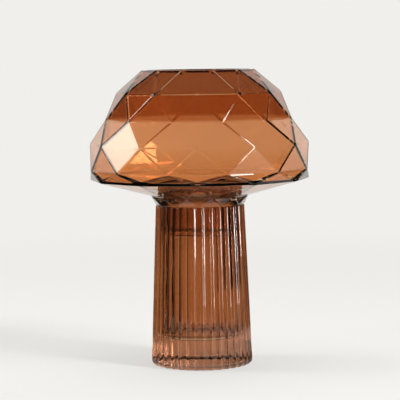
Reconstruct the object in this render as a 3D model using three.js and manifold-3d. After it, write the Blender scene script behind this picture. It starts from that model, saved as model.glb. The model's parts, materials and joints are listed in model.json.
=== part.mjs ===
// A tealight holder in two pieces of amber glass. A fluted, thick-footed base stands on the table,
// and a faceted shade, open at the top, stands on the base's rim. The shade's neck ends in a round
// spigot that drops into the base's mouth. The spigot is hollow and is the cup for the tealight.
// Millimetres, +Z up. The origin is the centre of the foot, on the table, and -Y is the front.
import * as THREE from 'three';
import { mergeVertices } from 'three/addons/utils/BufferGeometryUtils.js';
import Module from 'manifold-3d';

const wasm = await Module();
wasm.setup();

// Base: the outside, over the ridges between the flutes.
const RIM_HEIGHT = 108.8;
const RIM_RADIUS = 30.2;
const BODY_HEIGHT = 24;        // where the long taper from the rim ends
const BODY_RADIUS = 33.6;
const FOOT_HEIGHT = 4;         // where the foot is widest
const FOOT_RADIUS = 34.5;
const FOOT_ROUND = 3;          // rounding of the edge that meets the table
const FLUTES = 36;
const FLUTE_DEPTH = 1.2;
const FLUTE_TURN = 3.2;        // degrees that the base stands turned from the shade's corners

// Base: the hollow, by the glass around it.
const RIM_WALL = 2.4;          // behind a flute, at the rim
const WELL_WALL = 8;           // behind a flute, at the hollow's floor
const WELL_FLOOR = 19;         // thickness of the solid foot below the hollow
const WELL_ROUND = 4;

// Shade: rings of corners, each ring turned half a facet from the last and joined to it by
// triangles. The first is the top rim, and rise is the height above the shade's foot.
const FACETS = 12;
const RIM_RING = { radius: 39.2, rise: 90.9 };
const COLLAR_RING = { radius: 55.6, rise: 75.9 };
const SHOULDER_RING = { radius: 64.6, rise: 57.9 };
const UPPER_BELLY_RING = { radius: 74.2, rise: 41.5 };
const BELLY_RING = { radius: 75, rise: 24.1 };
const LOWER_BELLY_RING = { radius: 74.3, rise: 17 };
const NECK_RISE = 6.2;
const NECK_FLARE = 3.6;        // how far the neck widens from the base's rim to the bowl
const SHADE_WALL = 3;          // at the middle of a facet, where the wall is thinnest
const SEAT_GAP = 0.3;          // between the shade's foot and the base's rim
const SPIGOT_LENGTH = 20;
const SPIGOT_CLEARANCE = 0.4;  // all round, in the base's mouth
const CUP_WALL = 3.5;          // side of the spigot
const CUP_FLOOR = 3.4;         // bottom of the spigot
const CUP_ROUND = 2;

// Segments of the round surfaces.
const FLUTE_STEPS = 4;
const ROUND_SIDES = 72;
const ARC_STEPS = 4;

const AMBER = 0xa4562a;
const BROWN_AMBER = 0x8c4520;
const CUT_OVERRUN = 4;         // how far a cutter passes the face it cuts through
const QUARTER = Math.PI / 2;

// Places that follow from the sizes above.
const MOUTH_RADIUS = RIM_RADIUS - FLUTE_DEPTH - RIM_WALL;
const WELL_RADIUS = BODY_RADIUS - FLUTE_DEPTH - WELL_WALL;
const SHADE_FOOT = RIM_HEIGHT + SEAT_GAP;
const SPIGOT_BOTTOM = SHADE_FOOT - SPIGOT_LENGTH;
const NECK_RING = { radius: RIM_RADIUS + NECK_FLARE, rise: NECK_RISE };
const FOOT_RING = { radius: RIM_RADIUS, rise: 0 };

// A closed mesh as a solid that can be joined and cut.
function toSolid(geometry) {
  const bare = geometry.clone();
  bare.deleteAttribute('normal');
  bare.deleteAttribute('uv');
  const merged = mergeVertices(bare, 1e-4);
  const corners = merged.index.array;
  const kept = [];
  for (let i = 0; i < corners.length; i += 3) {
    const [a, b, c] = [corners[i], corners[i + 1], corners[i + 2]];
    if (a !== b && b !== c && c !== a) kept.push(a, b, c);
  }
  return new wasm.Manifold(new wasm.Mesh({
    numProp: 3,
    vertProperties: new Float32Array(merged.attributes.position.array),
    triVerts: new Uint32Array(kept),
  }));
}

function toGeometry(solid) {
  const mesh = solid.getMesh();
  const geometry = new THREE.BufferGeometry();
  geometry.setAttribute('position', new THREE.BufferAttribute(mesh.vertProperties, 3));
  geometry.setIndex(new THREE.BufferAttribute(mesh.triVerts, 1));
  geometry.computeVertexNormals();
  return geometry;
}

// A solid of revolution about Z from [radius, height] points that start and end on the axis,
// going up the outside.
function turned(outline) {
  const points = outline.map(([radius, height]) => new THREE.Vector2(radius, height));
  return new THREE.LatheGeometry(points, ROUND_SIDES).rotateX(QUARTER);
}

// A closed solid through rings of points. Every ring has as many points, point k of a ring joins
// to points k and k + 1 of the ring before it, and the first and the last ring are closed flat.
function ringSolid(rings) {
  const count = rings[0].length;
  const ends = [rings[0], rings.at(-1)].map(centreOf);
  const position = [...rings.flat(), ...ends].flatMap((point) => [point.x, point.y, point.z]);
  const [last, firstCentre] = [(rings.length - 1) * count, rings.length * count];
  const index = [];
  for (let k = 0; k < count; k += 1) {
    const next = (k + 1) % count;
    index.push(firstCentre, next, k, firstCentre + 1, last + k, last + next);
    for (let level = 0; level < last; level += count) {
      const [low, lowNext] = [level + k, level + next];
      const [high, highNext] = [low + count, lowNext + count];
      index.push(low, lowNext, high, lowNext, highNext, high);
    }
  }
  const geometry = new THREE.BufferGeometry();
  geometry.setAttribute('position', new THREE.Float32BufferAttribute(position, 3));
  geometry.setIndex(index);
  return geometry;
}

function centreOf(ring) {
  const sum = ring.reduce((total, point) => total.add(point), new THREE.Vector3());
  return sum.divideScalar(ring.length);
}

// Points of an arc from one angle to another, in radians, about a centre [radius, height].
function arc(centre, size, from, to) {
  const points = [];
  for (let i = 0; i <= ARC_STEPS; i += 1) {
    const angle = from + (to - from) * i / ARC_STEPS;
    points.push([centre[0] + size * Math.cos(angle), centre[1] + size * Math.sin(angle)]);
  }
  return points;
}

// Moves every side of an outline inwards by a distance and meets the moved sides again. The
// outline runs from top to bottom with the inside on its axis side.
function inset(outline, distance) {
  const sides = outline.slice(1).map((end, i) => {
    const start = outline[i];
    const length = Math.hypot(end[0] - start[0], end[1] - start[1]);
    const along = [(end[0] - start[0]) / length, (end[1] - start[1]) / length];
    const inwards = [along[1], -along[0]];
    const point = [start[0] + inwards[0] * distance, start[1] + inwards[1] * distance];
    return { point, along };
  });
  return outline.map((corner, i) => {
    const before = sides[Math.max(i - 1, 0)];
    const after = sides[Math.min(i, sides.length - 1)];
    if (before === after) return alongTo(before, corner[1]);
    const cross = before.along[0] * after.along[1] - before.along[1] * after.along[0];
    const gap = [after.point[0] - before.point[0], after.point[1] - before.point[1]];
    const step = (gap[0] * after.along[1] - gap[1] * after.along[0]) / cross;
    return [before.point[0] + before.along[0] * step, before.point[1] + before.along[1] * step];
  });
}

// The point of a side, or of its extension, at a height.
function alongTo(side, height) {
  const step = (height - side.point[1]) / side.along[1];
  return [side.point[0] + side.along[0] * step, height];
}

// Radius of the base's hollow at a height, from its floor to its mouth.
function hollowRadius(height) {
  const share = (height - WELL_FLOOR) / (RIM_HEIGHT - WELL_FLOOR);
  return WELL_RADIUS + (MOUTH_RADIUS - WELL_RADIUS) * share;
}

// The base's outline over the ridges, from the table up.
function baseOutline() {
  const centre = [FOOT_RADIUS - FOOT_ROUND, FOOT_ROUND];
  return [
    ...arc(centre, FOOT_ROUND, -QUARTER, 0),
    [FOOT_RADIUS, FOOT_HEIGHT],
    [BODY_RADIUS + (FOOT_RADIUS - BODY_RADIUS) / 4, (FOOT_HEIGHT + BODY_HEIGHT) / 2],
    [BODY_RADIUS, BODY_HEIGHT],
    [RIM_RADIUS, RIM_HEIGHT],
  ];
}

// One level of the base, as far from the axis as reachAt gives for each share, -1 to 1, of the way
// across a flute.
function baseRing(height, reachAt) {
  const count = FLUTES * FLUTE_STEPS;
  return Array.from({ length: count }, (_, k) => {
    const reach = reachAt((k % FLUTE_STEPS) / FLUTE_STEPS * 2 - 1);
    const angle = k / count * 2 * Math.PI - QUARTER + THREE.MathUtils.degToRad(FLUTE_TURN);
    return new THREE.Vector3(reach * Math.cos(angle), reach * Math.sin(angle), height);
  });
}

// Ridges at the stated radius with a hollow curve between them.
function flutedRing([radius, height]) {
  return baseRing(height, (across) => radius - FLUTE_DEPTH * (1 - across * across));
}

function roundRing([radius, height]) {
  return baseRing(height, () => radius);
}

// The hollow's outline, from its mouth down to its floor.
function hollowOutline() {
  const cornerCentre = [WELL_RADIUS - WELL_ROUND, WELL_FLOOR + WELL_ROUND];
  return [[MOUTH_RADIUS, RIM_HEIGHT], ...arc(cornerCentre, WELL_ROUND, 0, -QUARTER)];
}

function baseSolid() {
  return toSolid(ringSolid([...baseOutline().map(flutedRing), ...hollowOutline().map(roundRing)]));
}

// All rings of the shade's outside, from the rim down to the foot that stands on the base.
function shadeRings() {
  const bowl = [RIM_RING, COLLAR_RING, SHOULDER_RING, UPPER_BELLY_RING, BELLY_RING, LOWER_BELLY_RING];
  return [...bowl, NECK_RING, FOOT_RING];
}

// Corners of one ring. Levels count up from the foot, which has a corner at the front.
function facetRing({ radius, rise }, level) {
  const step = 2 * Math.PI / FACETS;
  return Array.from({ length: FACETS }, (_, k) => {
    const angle = (k + level / 2) * step - QUARTER;
    const [x, y] = [radius * Math.cos(angle), radius * Math.sin(angle)];
    return new THREE.Vector3(x, y, SHADE_FOOT + rise);
  });
}

// Radius of the spigot's outside at a height: a clearance inside the base's hollow.
function spigotRadius(height) {
  return hollowRadius(height) - SPIGOT_CLEARANCE;
}

// The spigot's outside, reaching up into the neck so that the two join.
function spigot() {
  const bottomRadius = spigotRadius(SPIGOT_BOTTOM);
  const topRadius = spigotRadius(RIM_HEIGHT);
  const top = SHADE_FOOT + NECK_RISE / 2;
  return turned([
    [0, SPIGOT_BOTTOM],
    ...arc([bottomRadius - CUP_ROUND, SPIGOT_BOTTOM + CUP_ROUND], CUP_ROUND, -QUARTER, 0),
    [topRadius, RIM_HEIGHT],
    [topRadius, top],
    [0, top],
  ]);
}

// The shade's inside: the bowl follows the middles of the facets' edges, a wall inside them, and
// the cup for the tealight goes on down into the spigot.
function shadeHollow() {
  const middle = Math.cos(Math.PI / FACETS);
  const middles = shadeRings().map(({ radius, rise }) => [radius * middle, SHADE_FOOT + rise]);
  const bowl = inset(middles, SHADE_WALL).slice(0, -1);
  const cupRadius = spigotRadius(SPIGOT_BOTTOM) - CUP_WALL;
  const cupFloor = SPIGOT_BOTTOM + CUP_FLOOR;
  const [rim, collar] = bowl;
  const lean = (rim[0] - collar[0]) / (rim[1] - collar[1]);
  return turned([
    [0, cupFloor],
    ...arc([cupRadius - CUP_ROUND, cupFloor + CUP_ROUND], CUP_ROUND, -QUARTER, 0),
    [cupRadius, SHADE_FOOT],
    ...bowl.toReversed(),
    [rim[0] + lean * CUT_OVERRUN, rim[1] + CUT_OVERRUN],
    [0, rim[1] + CUT_OVERRUN],
  ]);
}

function shadeSolid() {
  const rings = shadeRings().reverse().map(facetRing);
  const outside = toSolid(ringSolid(rings)).add(toSolid(spigot()));
  return outside.subtract(toSolid(shadeHollow()));
}

function piece(name, solid, colour) {
  const material = new THREE.MeshStandardMaterial({ color: colour, roughness: 0.05, metalness: 0 });
  material.transparent = true;
  material.opacity = 0.6;
  const mesh = new THREE.Mesh(toGeometry(solid), material);
  mesh.name = name;
  return mesh;
}

const holder = new THREE.Group();
holder.add(piece('base', baseSolid(), BROWN_AMBER));
holder.add(piece('shade', shadeSolid(), AMBER));

export default holder;
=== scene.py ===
"""Looks of a tealight holder in two pieces of amber pressed glass.

The base is a fluted tumbler with a thick solid foot, and the shade is a faceted bowl whose spigot
drops into the base's mouth. Both are rebuilt here as fine glass meshes on the CAD nodes' own
outlines, and each replaces its node. Metres, +Z up, -Y to the front.
"""
import json
import math

import bmesh
import bpy
from mathutils import Matrix, Vector


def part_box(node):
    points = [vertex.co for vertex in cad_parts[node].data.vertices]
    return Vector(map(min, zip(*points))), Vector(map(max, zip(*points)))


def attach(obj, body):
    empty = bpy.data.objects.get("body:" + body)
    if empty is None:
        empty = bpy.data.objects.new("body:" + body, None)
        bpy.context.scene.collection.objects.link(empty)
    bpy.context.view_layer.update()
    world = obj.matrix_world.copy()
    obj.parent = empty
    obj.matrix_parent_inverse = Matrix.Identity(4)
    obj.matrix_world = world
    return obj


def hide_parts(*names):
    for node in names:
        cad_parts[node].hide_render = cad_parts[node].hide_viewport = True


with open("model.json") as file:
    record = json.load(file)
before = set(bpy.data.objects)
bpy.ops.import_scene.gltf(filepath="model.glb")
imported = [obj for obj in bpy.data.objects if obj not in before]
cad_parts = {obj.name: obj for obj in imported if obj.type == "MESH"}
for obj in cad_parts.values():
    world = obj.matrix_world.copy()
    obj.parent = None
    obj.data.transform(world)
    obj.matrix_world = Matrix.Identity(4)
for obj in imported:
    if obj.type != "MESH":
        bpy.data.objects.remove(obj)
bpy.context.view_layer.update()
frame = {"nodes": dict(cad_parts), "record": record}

MM = 0.001
TINY = 1e-6

# Shade.
FACETS = 12
CAD_SIDES = 72                # of the CAD shade's round parts
EDGE_ROUND = 0.6 * MM         # from a facet's edge to where the flat of the facet begins
INNER_EDGE_ROUND = 0.2 * MM
EDGE_SEGMENTS = 3
LIP_ROUND = 1.3 * MM          # inner edge of the rim
LIP_FLARE = 2                 # how far the rim's inner edge is cut outward and upward, in LIP_ROUNDs
CUP_EDGE = 3 * MM             # how far the cup's edge is drawn into a curve
SPIGOT_JOIN = 3 * MM          # how far the spigot reaches up into the neck
HOLLOW_SIDES = 288

# Base.
FLUTES = 36
FLUTE_SEGMENTS = 16
CAD_WELL_SIDES = 144
FLUTE_DEPTH = 1.2 * MM
RIDGE_ROUND = 0.14            # share of a flute's half width that the rounded ridge takes
RIM_ROUND = 1 * MM
SIDE_ROUND = 4 * MM           # corners of the side between the foot and the rim
FOOT_ROUND = 3 * MM

SMALL_ROUND = 1 * MM          # every other corner of an outline
CORNER_STEPS = 8              # points along each rounded corner of an outline
LONGEST_STEP = 3 * MM         # between points of an outline's straight stretches

# Camera: distance and height from the foot, degrees round to the right and of lean, and lens in mm.
CAMERA_DISTANCE = 1.225
CAMERA_HEIGHT = 0.211
CAMERA_AZIMUTH = 1.2
CAMERA_ROLL = 0.8
CAMERA_LENS = 163
AIM_HEIGHT = 0.1116

# Lamps: azimuth and elevation in degrees, distance, width, height, and power in watts.
KEY = 54, 20, 1.3, 0.24, 1.26, 19
STRIP = 54, -6, 0.55, 0.09, 0.10, 0.3
PANEL = -96, 26, 1.2, 0.32, 0.98, 7
CEILING = 0, 90, 1.4, 1.2, 1.2, 8.5

# Floor and world. The world's levels are sines of the elevation: 0 at the horizon, 1 straight up.
FLOOR_RADIUS = 6
FLOOR_LEVEL = -0.05 * MM      # just under the foot
FLOOR_SIDES = 96
FLOOR_FADE = 0.3, 1.0         # distances from the foot between which the paper turns into a glow
FLOOR_GLOW = 0.6
PALE_UP_TO = 0.62
DARK_FROM = 0.9
PALE = (0.87, 0.862, 0.835)
PAPER = (0.93, 0.92, 0.89)
OVERHEAD = (0.12, 0.12, 0.12)
BLACK = (0.04, 0.04, 0.04)

# Black tent: radius, how far it reaches round from the camera's side in degrees, rows and sides.
TENT_RADIUS = 1.6
TENT_REACH = 125
TENT_STEPS = 12
TENT_SIDES = 48

# Black card under the line of sight: place along it, height and half width, at each of its two ends.
CARD_ENDS = (-0.9, -0.13, 0.28), (0.3, -0.16, 1.2)

# Low black screens at the object's sides: spans in degrees from the camera's side, radius, heights.
SCREEN_SPANS = (-40, -142), (68, 142)
SCREEN_RADIUS = 0.26
SCREEN_HEIGHTS = -0.02, 0.10
SCREEN_STEPS = 12

# Black apron on the floor, from its own radius out to the screens.
APRON_RADIUS = 0.06
APRON_REACH = 142
APRON_STEPS = 24

# Colours of the base's glass, by height and then where they are set apart.
RING_TINT = (0.26, 0.11, 0.06)
FOOT_TINT = (0.40, 0.155, 0.075)
STEM_TINT = (0.38, 0.11, 0.03)
STEM_TOP_TINT = (0.31, 0.08, 0.025)
WELL_TINT = (0.96, 0.90, 0.84)
WELL_FLOOR_TINT = (0.50, 0.34, 0.24)
# Painted highlight: the ridges between the flutes are lightened all round, in place of the lamps' gleam
# on them.
RIDGE_HIGHLIGHT_TINT = (0.72, 0.42, 0.30)
STEM_FADE = 50 * MM, 88 * MM      # heights above the well's floor between which the stem deepens
WELL_EDGE = 28.2 * MM, 27.2 * MM  # radii between which the well's own colours set in
WELL_FLOOR_FLATNESS = 4
FOOT_BLEND = 3 * MM               # how far one colour of the foot takes to turn into the next

# Colours of the shade's glass.
SPIGOT_TINT = (0.92, 0.80, 0.70)
LOW_TINT = (0.82, 0.48, 0.27)
BOWL_TINT = (0.86, 0.54, 0.34)
# Painted shade: the two upper rows of facets are darkened, in place of the dark surroundings seen
# through them.
BAND_SHADE_TINT = (0.59, 0.25, 0.105)
TOP_SHADE_TINT = (0.54, 0.27, 0.15)
# Painted shade: the neck under the bowl is made nearly black, where little light comes through its
# thick glass.
NECK_SHADE_TINT = (0.06, 0.025, 0.012)
BOWL_FADE = 28 * MM, 36 * MM      # heights above the neck's foot between which the bowl lightens
# Where the neck's painted shade sits: its middle, its outer and inner radius, and its flatness.
NECK_MIDDLE = 11 * MM             # height above the neck's foot
NECK_EDGE = 40 * MM, 37 * MM
NECK_FLATNESS = 4

# Glass: refraction, spots and waves per metre, how far the colour wanders, and how high the waves are.
GLASS_IOR = 1.5
CLOUD_SCALE = 14
CLOUD_DEPTH = 0.08
WAVE_SCALE = 45
BASE_WAVES = 0.05 * MM
SHADE_WAVES = 0.04 * MM


# Outlines, as lists of (radius, height).

def node_rings(node):
    """The node's vertices by the level circle that each lies on: {(radius, height): points}."""
    rings = {}
    for vertex in frame["nodes"][node].data.vertices:
        x, y, z = vertex.co
        place = (round(math.hypot(x, y), 4), round(z, 4))
        rings.setdefault(place, set()).add((round(x, 5), round(y, 5)))
    return rings


def outline_of(rings, low, high, pick, sides):
    """The innermost (pick min) or outermost (pick max) circle of each level between two heights, of
    those with that many points."""
    levels = {}
    for (radius, height), points in rings.items():
        if low <= height <= high and len(points) == sides:
            levels.setdefault(height, []).append(radius)
    return [(pick(radii), height) for height, radii in sorted(levels.items())]


def rounded(outline, sizes):
    """Draws each inner corner of an outline into a curve that begins sizes[i] before it."""
    points = [Vector(point) for point in outline]
    curve = [points[0]]
    for before, corner, after, size in zip(points, points[1:], points[2:], sizes[1:]):
        reach = min(size, (before - corner).length / 2, (after - corner).length / 2)
        start = corner + (before - corner).normalized() * reach
        end = corner + (after - corner).normalized() * reach
        for i in range(CORNER_STEPS + 1):
            t = i / CORNER_STEPS
            curve.append(start * (1 - t) ** 2 + corner * 2 * t * (1 - t) + end * t ** 2)
    return curve + [points[-1]]


def divided(curve):
    """Splits the long stretches of a curve, and drops points that fall together."""
    result = [curve[0]]
    for point in curve[1:]:
        length = (point - result[-1]).length
        if length < TINY:
            continue
        start, steps = result[-1], math.ceil(length / LONGEST_STEP)
        result += [start.lerp(point, (i + 1) / steps) for i in range(steps)]
    return result


# Meshes.

def new_object(name, data):
    """Puts a mesh, a light or a camera into the scene."""
    thing = bpy.data.objects.new(name, data)
    bpy.context.scene.collection.objects.link(thing)
    return thing


def circle(radius, height, sides):
    """Points on a level circle round the axis."""
    angles = [2 * math.pi * k / sides for k in range(sides)]
    return [Vector((radius * math.cos(a), radius * math.sin(a), height)) for a in angles]


def row_faces(rows, sides):
    """The faces between rows of points that each run right round."""
    faces = []
    for r in range(rows - 1):
        for k in range(sides):
            low, low_next = r * sides + k, r * sides + (k + 1) % sides
            faces.append((low, low_next, low_next + sides, low + sides))
    return faces


def strip_faces(steps, first=0):
    """The faces of a strip whose points come in pairs, one pair more than it has steps."""
    return [(first + 2 * i, first + 2 * i + 1, first + 2 * i + 3, first + 2 * i + 2)
            for i in range(steps)]


def surface(name, rows):
    """A closed surface through rows of points. The first and the last row are closed by a fan."""
    count = len(rows[0])
    points = [point for row in rows for point in row]
    faces = row_faces(len(rows), count)
    for row, first, turn in ((rows[0], 0, -1), (rows[-1], (len(rows) - 1) * count, 1)):
        points.append(sum(row, Vector()) / count)
        for k in range(count):
            fan = (first + k, first + (k + 1) % count, len(points) - 1)
            faces.append(fan[::turn])
    mesh = bpy.data.meshes.new(name)
    mesh.from_pydata(points, [], faces)
    mesh.polygons.foreach_set("use_smooth", [True] * len(mesh.polygons))
    return mesh


def turned(name, curve, sides):
    """A closed surface of revolution."""
    return surface(name, [circle(radius, height, sides) for radius, height in curve])


def combined(target, other, operation):
    """Joins other to target or cuts it away, and removes other."""
    modifier = target.modifiers.new(operation, "BOOLEAN")
    modifier.operation = operation
    modifier.solver = "MANIFOLD"
    modifier.object = other
    bpy.context.view_layer.update()
    evaluated = target.evaluated_get(bpy.context.evaluated_depsgraph_get())
    mesh = bpy.data.meshes.new_from_object(evaluated)
    target.modifiers.clear()
    target.data = mesh
    bpy.data.objects.remove(other)


# Base.

def ridge_angle():
    """Angle of one ridge of the CAD base."""
    rings = node_rings("base")
    radius, height = max(rings)
    x, y = min(rings[radius, height])
    return math.atan2(y, x)


def flute_angles():
    """(angle, share of the way across its flute, -1 to 1) for each column of the base."""
    steps = [math.sin(math.pi / 2 * (2 * i / FLUTE_SEGMENTS - 1)) for i in range(FLUTE_SEGMENTS)]
    width = 2 * math.pi / FLUTES
    first = ridge_angle()
    return [(first + (k + (share + 1) / 2) * width, share)
            for k in range(FLUTES) for share in steps]


def flute_drop(share, depth):
    """How far the surface lies below the ridges' sharp outline, with the ridges rounded."""
    away = 1 - abs(share)
    if away < RIDGE_ROUND:
        return depth * (RIDGE_ROUND + (1 - RIDGE_ROUND) / RIDGE_ROUND * away ** 2)
    return depth * (1 - share ** 2)


def well_floor_height():
    """The lowest level of the base's well."""
    return outline_of(node_rings("base"), MM, math.inf, min, CAD_WELL_SIDES)[0][1]


def build_base():
    """The fluted tumbler. Its attribute "ridge" is 1 on the ridges between the flutes."""
    rings = node_rings("base")
    low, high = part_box("base")
    outside = outline_of(rings, low.z, high.z, max, FLUTES)
    hollow = outline_of(rings, low.z, high.z, min, CAD_WELL_SIDES)[::-1]
    foot = [point for point in outside if point[1] <= FOOT_ROUND + MM / 2]
    sizes = [SMALL_ROUND] * len(foot)
    sizes += [SIDE_ROUND] * (len(outside) - len(foot) - 1)
    sizes += [RIM_ROUND] * 2
    sizes += [SMALL_ROUND] * len(hollow)
    curve = divided(rounded([*outside, *hollow], sizes))
    columns = flute_angles()
    rows = []
    on_outside = True
    for radius, height in curve:
        if height >= high.z - TINY:
            on_outside = False
        row = []
        for angle, share in columns:
            reach = radius - (flute_drop(share, FLUTE_DEPTH) if on_outside else 0)
            row.append(Vector((reach * math.cos(angle), reach * math.sin(angle), height)))
        rows.append(row)
    mesh = surface("fluted_base", rows)
    # Share of the painted ridge highlight across each column, 1 on the ridges.
    across = [max(0, 1 - (1 - abs(share)) / RIDGE_ROUND) for _, share in columns]
    ridge = across * len(rows) + [0, 0]
    mesh.attributes.new("ridge", "FLOAT", "POINT").data.foreach_set("value", ridge)
    return new_object("fluted_base", mesh)


# Shade.

def facet_corners():
    """The rings of corners of the shade's facets, lowest first. Each ring is turned half a facet from
    the last, and its corner k lies between corners k and k + 1 of the ring below it."""
    half_step = math.pi / FACETS
    rings = sorted((height, points) for (_, height), points in node_rings("shade").items()
                   if len(points) == FACETS)
    corners = []
    for level, (height, points) in enumerate(rings):
        start = level * half_step - math.pi / 2 - half_step / 2

        def along(point):
            return (math.atan2(point[1], point[0]) - start) % (2 * math.pi)

        corners.append([Vector((*point, height)) for point in sorted(points, key=along)])
    return corners


def faceted_solid(name, rings, edge_round):
    """A solid of flat facets through rings of corners, with every edge between facets rounded."""
    shape = bmesh.new()
    rows = [[shape.verts.new(corner) for corner in ring] for ring in rings]
    for low, high in zip(rows, rows[1:]):
        for k in range(FACETS):
            after = (k + 1) % FACETS
            shape.faces.new((low[k], low[after], high[k]))
            shape.faces.new((low[after], high[after], high[k]))
    shape.faces.new(rows[0][::-1])
    shape.faces.new(rows[-1])
    rounded_faces = bmesh.ops.bevel(
        shape, geom=list(shape.edges), offset=edge_round, offset_type="OFFSET",
        segments=EDGE_SEGMENTS, profile=0.5, affect="EDGES", clamp_overlap=True,
    )["faces"]
    for face in shape.faces:
        face.smooth = False
    for face in rounded_faces:
        face.smooth = True
    mesh = bpy.data.meshes.new(name)
    shape.to_mesh(mesh)
    shape.free()
    return new_object(name, mesh)


def inner_corners(bowl):
    """The corners of the bowl's inside, whose facets run alongside those of the outside. A last ring
    above the rim's inner edge flares outward, and so rounds it off."""
    reach = 1 / math.cos(math.pi / FACETS)
    rings = []
    for (radius, height), ring in zip(bowl, facet_corners()[-len(bowl):]):
        rings.append([Vector((*(corner.xy.normalized() * radius * reach), height)) for corner in ring])
    lip = rings[-1]
    for corner in lip:
        corner.z -= LIP_ROUND
    flare = [Vector((*(corner.xy.normalized() * LIP_FLARE), LIP_FLARE)) for corner in lip]
    rings.append([corner + step * LIP_ROUND for corner, step in zip(lip, flare)])
    return rings


def build_shade():
    """The faceted bowl with its spigot, hollowed out by the faceted bowl inside and the round cup."""
    rings = node_rings("shade")
    low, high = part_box("shade")
    seat = next(mount["pos_m"][2] for mount in frame["record"]["mounts"]
                if mount["name"] == "tealight_seat")
    corners = facet_corners()
    foot = corners[0][0].z
    body = faceted_solid("faceted_shade", corners, EDGE_ROUND)
    spigot = outline_of(rings, low.z, seat - MM, max, CAD_SIDES)
    spigot_radius = spigot[-1][0]
    outside = [*spigot, (spigot_radius, foot + SPIGOT_JOIN)]
    plug = turned("spigot", divided(rounded(outside, [SMALL_ROUND] * len(outside))), HOLLOW_SIDES)
    combined(body, new_object("spigot", plug), "UNION")
    hollow = outline_of(rings, seat - MM / 10, high.z, min, CAD_SIDES)
    bowl = hollow[-(len(corners) - 1):]
    cup = [point for point in hollow[:-len(bowl)] if point[0] < spigot_radius - MM]
    combined(body, faceted_solid("bowl", inner_corners(bowl), INNER_EDGE_ROUND), "DIFFERENCE")
    mouth = bowl[0]
    well = [*cup, mouth, (mouth[0], mouth[1] + SPIGOT_JOIN)]
    sizes = [SMALL_ROUND] * (len(cup) - 1) + [CUP_EDGE, SMALL_ROUND, 0]
    curve = divided(rounded(well, sizes))
    combined(body, new_object("cup", turned("cup", curve, HOLLOW_SIDES)), "DIFFERENCE")
    return body


# Materials.

def shader_nodes(name):
    """A new material with its nodes, its links and its Principled shader."""
    material = bpy.data.materials.new(name)
    material.use_nodes = True
    nodes = material.node_tree.nodes
    return material, nodes, material.node_tree.links, nodes["Principled BSDF"]


def mixed(nodes, links, share, colour, tint):
    """The colour, turned into the tint by a share that varies over the surface."""
    mix = nodes.new("ShaderNodeMix")
    mix.data_type = "RGBA"
    links.new(share, mix.inputs["Factor"])
    links.new(colour, mix.inputs["A"])
    mix.inputs["B"].default_value = (*tint, 1)
    return mix.outputs["Result"]


def height_ramp(nodes, links, place, tints):
    """The glass's colour by height, from (height, colour) stops, lowest first."""
    low, high = tints[0][0], tints[-1][0]
    split = nodes.new("ShaderNodeSeparateXYZ")
    links.new(place.outputs["Object"], split.inputs["Vector"])
    height = nodes.new("ShaderNodeMapRange")
    height.inputs["From Min"].default_value = low
    height.inputs["From Max"].default_value = high
    links.new(split.outputs["Z"], height.inputs["Value"])
    ramp = nodes.new("ShaderNodeValToRGB")
    links.new(height.outputs["Result"], ramp.inputs["Fac"])
    stops = ramp.color_ramp.elements
    stops[0].color = (*tints[0][1], 1)
    stops[1].color = (*tints[-1][1], 1)
    for level, colour in tints[1:-1]:
        stops.new((level - low) / (high - low)).color = (*colour, 1)
    return ramp.outputs["Color"]


def masked_tint(nodes, links, place, colour, tint, middle, flatness, edge):
    """Turns the colour into the tint inside an ellipsoid round the axis, between its outer and inner
    radius. Its middle is a height. A flatness of 0 makes it an endless cylinder."""
    offset = nodes.new("ShaderNodeVectorMath")
    offset.operation = "MULTIPLY_ADD"
    offset.inputs[1].default_value = (1, 1, flatness)
    offset.inputs[2].default_value = (0, 0, -middle * flatness)
    links.new(place.outputs["Object"], offset.inputs[0])
    reach = nodes.new("ShaderNodeVectorMath")
    reach.operation = "LENGTH"
    links.new(offset.outputs["Vector"], reach.inputs[0])
    share = nodes.new("ShaderNodeMapRange")
    share.inputs["From Min"].default_value, share.inputs["From Max"].default_value = edge
    links.new(reach.outputs["Value"], share.inputs["Value"])
    return mixed(nodes, links, share.outputs["Result"], colour, tint)


def painted_ridge_highlight(nodes, links, colour, tint):
    """Lightens the colour along the ridges between flutes: a painted highlight in place of the lamps'
    gleam on each ridge.
    """
    ridge = nodes.new("ShaderNodeAttribute")
    ridge.attribute_name = "ridge"
    return mixed(nodes, links, ridge.outputs["Fac"], colour, tint)


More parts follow.
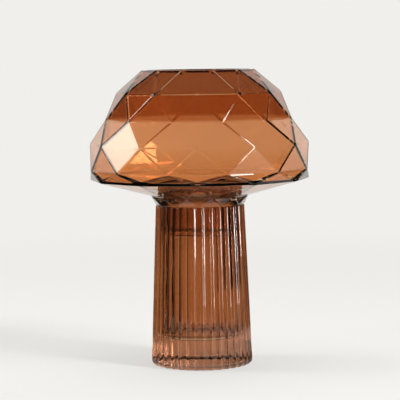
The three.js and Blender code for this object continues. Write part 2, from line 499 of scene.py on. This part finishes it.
def glass(name, tints, masks, ripple, ridges=None):
    """Clear glass, coloured by height and a little unevenly, with the soft waves of pressed glass.
    Where ridges are given, a painted highlight lightens them.
    """
    material, nodes, links, shader = shader_nodes(name)
    shader.inputs["Transmission Weight"].default_value = 1
    shader.inputs["IOR"].default_value = GLASS_IOR
    shader.inputs["Roughness"].default_value = 0
    place = nodes.new("ShaderNodeTexCoord")
    colour = height_ramp(nodes, links, place, tints)
    # Painted highlight along the ridges, where a ridge colour is given.
    if ridges:
        colour = painted_ridge_highlight(nodes, links, colour, ridges)
    for mask in masks:
        colour = masked_tint(nodes, links, place, colour, *mask)
    cloud = nodes.new("ShaderNodeTexNoise")
    cloud.inputs["Scale"].default_value = CLOUD_SCALE
    links.new(place.outputs["Object"], cloud.inputs["Vector"])
    shift = nodes.new("ShaderNodeMapRange")
    shift.inputs["To Min"].default_value = 1 - CLOUD_DEPTH
    shift.inputs["To Max"].default_value = 1 + CLOUD_DEPTH
    links.new(cloud.outputs["Fac"], shift.inputs["Value"])
    tint = nodes.new("ShaderNodeMix")
    tint.data_type = "RGBA"
    tint.blend_type = "MULTIPLY"
    tint.inputs["Factor"].default_value = 1
    links.new(colour, tint.inputs["A"])
    links.new(shift.outputs["Result"], tint.inputs["B"])
    links.new(tint.outputs["Result"], shader.inputs["Base Color"])
    waves = nodes.new("ShaderNodeTexNoise")
    waves.inputs["Scale"].default_value = WAVE_SCALE
    waves.inputs["Detail"].default_value = 1
    links.new(place.outputs["Object"], waves.inputs["Vector"])
    bump = nodes.new("ShaderNodeBump")
    bump.inputs["Strength"].default_value = 1
    bump.inputs["Distance"].default_value = ripple
    links.new(waves.outputs["Fac"], bump.inputs["Height"])
    links.new(bump.outputs["Normal"], shader.inputs["Normal"])
    return material


def base_glass():
    """Dark at the foot ring, deepening up the stem, nearly clear on the well's surface, and lighter
    along the ridges, a painted highlight.
    """
    well_floor = well_floor_height()
    return glass("base_glass", [
        (FOOT_ROUND, RING_TINT),
        (FOOT_ROUND + FOOT_BLEND, FOOT_TINT),
        (well_floor - MM, FOOT_TINT),
        (well_floor + FOOT_BLEND, STEM_TINT),
        (well_floor + STEM_FADE[0], STEM_TINT),
        (well_floor + STEM_FADE[1], STEM_TOP_TINT),
    ], [
        (WELL_TINT, 0, 0, WELL_EDGE),
        (WELL_FLOOR_TINT, well_floor, WELL_FLOOR_FLATNESS, WELL_EDGE),
    # The last argument is the painted highlight on the ridges.
    ], BASE_WAVES, RIDGE_HIGHLIGHT_TINT)


def shade_glass():
    """A pale spigot, a light bowl, painted shade that makes the neck nearly black, and painted shade
    that darkens the two upper rows of facets.
    """
    rings = facet_corners()
    neck, shoulder, collar = rings[0][0].z, rings[-3][0].z, rings[-2][0].z
    return glass("shade_glass", [
        (neck - MM, SPIGOT_TINT),
        (neck, LOW_TINT),
        (neck + BOWL_FADE[0], LOW_TINT),
        (neck + BOWL_FADE[1], BOWL_TINT),
        (shoulder - MM, BOWL_TINT),
        # Painted shade from the shoulder up.
        (shoulder + MM, BAND_SHADE_TINT),
        (collar - MM, BAND_SHADE_TINT),
        (collar + MM, TOP_SHADE_TINT),
    ], [
        # Painted shade in the neck.
        (NECK_SHADE_TINT, neck + NECK_MIDDLE, NECK_FLATNESS, NECK_EDGE),
    ], SHADE_WAVES)


def paper_material():
    """Matt paper near the object that turns into an even glow further out, so that no edge shows."""
    material, nodes, links, shader = shader_nodes("paper")
    shader.inputs["Base Color"].default_value = (*PAPER, 1)
    shader.inputs["Roughness"].default_value = 0.9
    place = nodes.new("ShaderNodeTexCoord")
    reach = nodes.new("ShaderNodeVectorMath")
    reach.operation = "LENGTH"
    links.new(place.outputs["Object"], reach.inputs[0])
    fade = nodes.new("ShaderNodeMapRange")
    fade.interpolation_type = "SMOOTHSTEP"
    fade.inputs["From Min"].default_value, fade.inputs["From Max"].default_value = FLOOR_FADE
    fade.inputs["To Min"].default_value = FLOOR_GLOW
    links.new(reach.outputs["Value"], fade.inputs["Value"])
    glow = nodes.new("ShaderNodeEmission")
    glow.inputs["Color"].default_value = (*PALE, 1)
    mix = nodes.new("ShaderNodeMixShader")
    links.new(fade.outputs["Result"], mix.inputs["Fac"])
    links.new(shader.outputs["BSDF"], mix.inputs[1])
    links.new(glow.outputs["Emission"], mix.inputs[2])
    links.new(mix.outputs["Shader"], nodes["Material Output"].inputs["Surface"])
    return material


def black_material():
    """Matt black cloth."""
    material, _, _, shader = shader_nodes("black")
    shader.inputs["Base Color"].default_value = (*BLACK, 1)
    shader.inputs["Roughness"].default_value = 1
    shader.inputs["Specular IOR Level"].default_value = 0
    return material


# Stage, light and camera.

def build_floor():
    """A wide round sheet of paper under the foot."""
    mesh = bpy.data.meshes.new("floor")
    edge = circle(FLOOR_RADIUS, FLOOR_LEVEL, FLOOR_SIDES)
    mesh.from_pydata(edge, [], [tuple(range(len(edge)))])
    floor = new_object("floor", mesh)
    mesh.materials.append(paper_material())
    return floor


def build_world():
    """A pale band round the horizon that darkens overhead."""
    world = bpy.data.worlds.new("studio")
    bpy.context.scene.world = world
    world.use_nodes = True
    nodes, links = world.node_tree.nodes, world.node_tree.links
    place = nodes.new("ShaderNodeTexCoord")
    split = nodes.new("ShaderNodeSeparateXYZ")
    links.new(place.outputs["Generated"], split.inputs["Vector"])
    ramp = nodes.new("ShaderNodeValToRGB")
    links.new(split.outputs["Z"], ramp.inputs["Fac"])
    ramp.color_ramp.elements[0].position = PALE_UP_TO
    ramp.color_ramp.elements[0].color = (*PALE, 1)
    ramp.color_ramp.elements[1].position = DARK_FROM
    ramp.color_ramp.elements[1].color = (*OVERHEAD, 1)
    links.new(ramp.outputs["Color"], nodes["Background"].inputs["Color"])


def softbox(name, azimuth, elevation, distance, width, height, power):
    """A rectangular light that faces the middle of the object. Azimuth 0 is the front, 90 the right."""
    light = bpy.data.lights.new(name, "AREA")
    light.shape = "RECTANGLE"
    light.size, light.size_y = width, height
    light.energy = power
    lamp = new_object(name, light)
    a, e = math.radians(azimuth), math.radians(elevation)
    away = Vector((math.sin(a) * math.cos(e), -math.cos(a) * math.cos(e), math.sin(e)))
    lamp.location = Vector((0, 0, AIM_HEIGHT)) + away * distance
    lamp.rotation_euler = away.to_track_quat("Z", "Y").to_euler()
    lamp.visible_camera = False
    return lamp


def light_only(lamp, target):
    """Keeps a lamp's light, and its reflection, to one object."""
    lit = bpy.data.collections.new(lamp.name + "_lit")
    lit.objects.link(target)
    lamp.light_linking.receiver_collection = lit


def build_camera():
    """The camera, a little above the object and almost straight in front of it."""
    data = bpy.data.cameras.new("camera")
    data.lens = CAMERA_LENS
    camera = new_object("camera", data)
    a = math.radians(CAMERA_AZIMUTH)
    camera.location = (CAMERA_DISTANCE * math.sin(a), -CAMERA_DISTANCE * math.cos(a), CAMERA_HEIGHT)
    aim = Vector((0, 0, AIM_HEIGHT)) - camera.location
    turn = aim.to_track_quat("-Z", "Y").to_matrix().to_4x4()
    turn.translation = camera.location
    camera.matrix_world = turn @ Matrix.Rotation(-math.radians(CAMERA_ROLL), 4, "Z")
    bpy.context.scene.camera = camera
    return camera


# Black surroundings, as (points, faces) in the axes that the camera has at the front: x to the
# right, y up, z back past the camera, and the object at z = -CAMERA_DISTANCE.

def tent_shape():
    """The part of a sphere round the object that lies on the camera's side."""
    rows = []
    for i in range(1, TENT_STEPS + 1):
        away = math.radians(TENT_REACH) * i / TENT_STEPS
        back = TENT_RADIUS * math.cos(away) - CAMERA_DISTANCE
        rows.append(circle(TENT_RADIUS * math.sin(away), back, TENT_SIDES))
    points = [point for row in rows for point in row]
    return points, [*row_faces(TENT_STEPS, TENT_SIDES), tuple(range(TENT_SIDES))]


def card_shape():
    """A card that widens from before the object to behind the camera."""
    (near, near_level, near_half), (far, far_level, far_half) = CARD_ENDS
    points = [
        (-near_half, near_level, near), (near_half, near_level, near),
        (far_half, far_level, far), (-far_half, far_level, far),
    ]
    return points, [(0, 1, 2, 3)]


def screens_shape():
    """Upright curved screens round the sides of the foot."""
    points, faces = [], []
    for first, last in SCREEN_SPANS:
        faces += strip_faces(SCREEN_STEPS, len(points))
        for i in range(SCREEN_STEPS + 1):
            a = math.radians(first + (last - first) * i / SCREEN_STEPS)
            x, z = SCREEN_RADIUS * math.sin(a), SCREEN_RADIUS * math.cos(a) - CAMERA_DISTANCE
            points += [(x, height - AIM_HEIGHT, z) for height in SCREEN_HEIGHTS]
    return points, faces


def apron_shape():
    """A flat ring, open at the back, that lies a millimetre above the floor."""
    slope = (CAMERA_HEIGHT - AIM_HEIGHT) / CAMERA_DISTANCE
    points = []
    for i in range(APRON_STEPS + 1):
        a = math.radians(APRON_REACH * (2 * i / APRON_STEPS - 1))
        for radius in (APRON_RADIUS, SCREEN_RADIUS):
            x, toward = radius * math.sin(a), radius * math.cos(a)
            points.append((x, MM - AIM_HEIGHT - toward * slope, toward - CAMERA_DISTANCE))
    return points, strip_faces(APRON_STEPS)


def build_surroundings(camera):
    """Black shapes that give the clear glass its dark edges. They are placed once, by the camera's
    place at the front, and stand still in the studio whichever way the object is looked at. The
    camera doesn't see them directly, they cast no shadow, and the apron doesn't dim the floor."""
    black = black_material()
    for name, shape, dims_floor in (
        ("tent", tent_shape, True),
        ("card", card_shape, True),
        ("screens", screens_shape, True),
        ("apron", apron_shape, False),
    ):
        points, faces = shape()
        mesh = bpy.data.meshes.new(name)
        mesh.from_pydata(points, [], faces)
        mesh.materials.append(black)
        thing = new_object(name, mesh)
        thing.matrix_world = camera.matrix_world
        thing.visible_camera = False
        thing.visible_shadow = False
        thing.visible_diffuse = dims_floor


base = build_base()
base.data.materials.append(base_glass())
shade = build_shade()
shade.data.materials.clear()
shade.data.materials.append(shade_glass())

for piece, node, body, slot in (
    (base, "base", "base_body", "base_glass"),
    (shade, "shade", "shade_body", "shade_glass"),
):
    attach(piece, body)
    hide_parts(node)

floor = build_floor()
build_world()
softbox("key", *KEY)
light_only(softbox("strip", *STRIP), base)
softbox("panel", *PANEL)
light_only(softbox("ceiling", *CEILING), floor)
build_surroundings(build_camera())
bpy.context.scene.view_settings.view_transform = "Standard"
